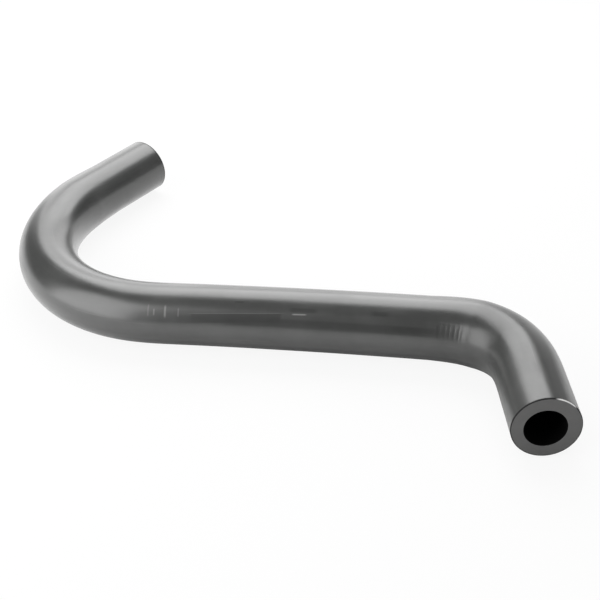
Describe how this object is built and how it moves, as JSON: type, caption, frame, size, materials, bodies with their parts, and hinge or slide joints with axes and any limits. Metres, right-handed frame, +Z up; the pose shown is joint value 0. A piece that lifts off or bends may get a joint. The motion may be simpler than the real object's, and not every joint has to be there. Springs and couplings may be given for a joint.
{
  "type": "hydraulic hose",
  "caption": "Moulded black rubber hydraulic hose with a tight and a wide bend and plain square-cut ends, lying flat.",
  "frame": {"origin": "middle of the hose's outline seen from above, at the height of the surface that it lies on", "axes": "+Z up, across the plane of the bends; -Y the way the near end faces; the middle run leads towards -X and the far end faces between +X and +Y"},
  "size_m": [0.2344, 0.2572, 0.0284],
  "materials": {
    "rubber": "satin"
  },
  "bodies": {
    "root": {"hose": "rubber"}
  },
  "joints": []
}
